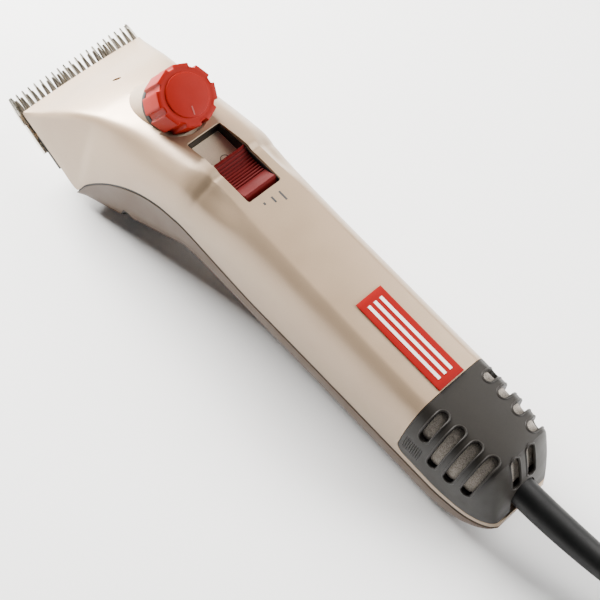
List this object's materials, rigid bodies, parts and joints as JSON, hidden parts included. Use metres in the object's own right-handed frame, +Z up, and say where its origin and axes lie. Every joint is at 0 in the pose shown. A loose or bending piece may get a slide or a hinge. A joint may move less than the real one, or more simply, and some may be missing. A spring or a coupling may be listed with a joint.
{
  "type": "mains animal clipper",
  "caption": "Hand-held mains clipper for shearing sheep: straight comb and swinging cutter, tension knob, slide switch, slotted rear air cap and a coiled cord.",
  "frame": {"origin": "on the table, under the middle of the clipper's own box, the cord left out", "axes": "+X along the clipper from the comb to the cord, +Y to the clipper's right with the comb pointing away from the user, +Z up from the table it lies on"},
  "size_m": [0.538, 0.1036, 0.106],
  "materials": {
    "housing_paint": "satin silver-beige paint on a moulded shell",
    "cap_plastic": "matte dark warm grey",
    "filter_mesh": "fine woven mesh, greyish beige",
    "label_red": "red plate",
    "dark_plastic": "black moulding",
    "floor_plastic": "beige moulding",
    "slider_plastic": "dark red, ribbed",
    "knob_plastic": "bright orange-red, satin",
    "board": "green circuit board",
    "lamination_steel": "stacked sheet steel",
    "tool_steel": "ground and polished",
    "copper_wire": "enamelled copper wire",
    "gear_brass": "machined",
    "cast_alloy": "as cast",
    "carbon": "moulded brush holder with a carbon brush",
    "black_rubber": "smooth black"
  },
  "bodies": {
    "housing": {"upper_housing": "housing_paint", "lower_housing": "housing_paint", "rear_cap": "cap_plastic", "air_filter": "filter_mesh", "label_plate": "label_red", "switch_bezel": "dark_plastic", "switch_floor": "floor_plastic", "speed_switch": "dark_plastic", "control_board": "board", "stator_core": "lamination_steel", "field_coil_left": "copper_wire", "field_coil_right": "copper_wire", "motor_bearing_front": "tool_steel", "motor_bearing_rear": "tool_steel", "crank_bearing": "tool_steel", "gear_frame": "cast_alloy", "rear_bracket": "dark_plastic", "brush_holder_left": "carbon", "brush_holder_right": "carbon", "comb": "tool_steel", "head_frame": "cast_alloy", "comb_screw_left": "tool_steel", "comb_screw_right": "tool_steel", "tension_bolt": "tool_steel", "knob_seal": "black_rubber", "belly_screw_left": "tool_steel", "belly_screw_right": "tool_steel", "strain_relief": "black_rubber", "mains_cord": "black_rubber", "cord_tail": "black_rubber", "cord_coil": "black_rubber", "plug_body": "black_rubber", "plug_pin_left": "tool_steel", "plug_pin_right": "tool_steel"},
    "motor": {"motor_shaft": "tool_steel", "rotor_core": "lamination_steel", "rotor_winding_front": "copper_wire", "rotor_winding_rear": "copper_wire", "commutator": "gear_brass", "cooling_fan": "dark_plastic", "drive_pinion": "tool_steel"},
    "crank": {"crank_gear": "gear_brass", "crank_axle": "tool_steel", "crank_pin": "tool_steel"},
    "lever": {"swing_lever": "cast_alloy", "cutter": "tool_steel", "cutter_pin_left": "tool_steel", "cutter_pin_right": "tool_steel"},
    "tension_carriage": {"tension_sleeve": "gear_brass", "tension_spring": "tool_steel"},
    "knob": {"tension_knob": "knob_plastic"},
    "slider": {"switch_slider": "slider_plastic"}
  },
  "joints": [
    {"name": "motor_spin", "type": "hinge", "parent": "housing", "child": "motor", "pos_m": [-0.15876, 0, 0.06154], "axis": [0.9947, 0, -0.1028], "continuous": true},
    {"name": "crank_spin", "type": "hinge", "parent": "housing", "child": "crank", "pos_m": [-0.16045, 0, 0.04512], "axis": [0.9947, 0, -0.1028], "continuous": true},
    {"name": "lever_swing", "type": "hinge", "parent": "housing", "child": "lever", "pos_m": [-0.12367, 0, 0.01105], "axis": [0.5577, 0, 0.83], "range_deg": [-4.2, 4.2]},
    {"name": "tension_travel", "type": "slide", "parent": "housing", "child": "tension_carriage", "axis": [0.5577, 0, 0.83], "range_m": [-0.00063, 0.0025]},
    {"name": "knob_turn", "type": "hinge", "parent": "tension_carriage", "child": "knob", "pos_m": [-0.07604, 0, 0.08193], "axis": [0.5577, 0, 0.83], "range_deg": [-721, 181]},
    {"name": "switch_slide", "type": "slide", "parent": "housing", "child": "slider", "axis": [-0.9947, 0, 0.1028], "range_m": [0, 0.0138]}
  ],
  "couplings": [
    {"joint": "crank_spin", "follows": "motor_spin", "ratio": -0.22222},
    {"joint": "knob_turn", "follows": "tension_travel", "rad_per_m": -5026.5}
  ]
}
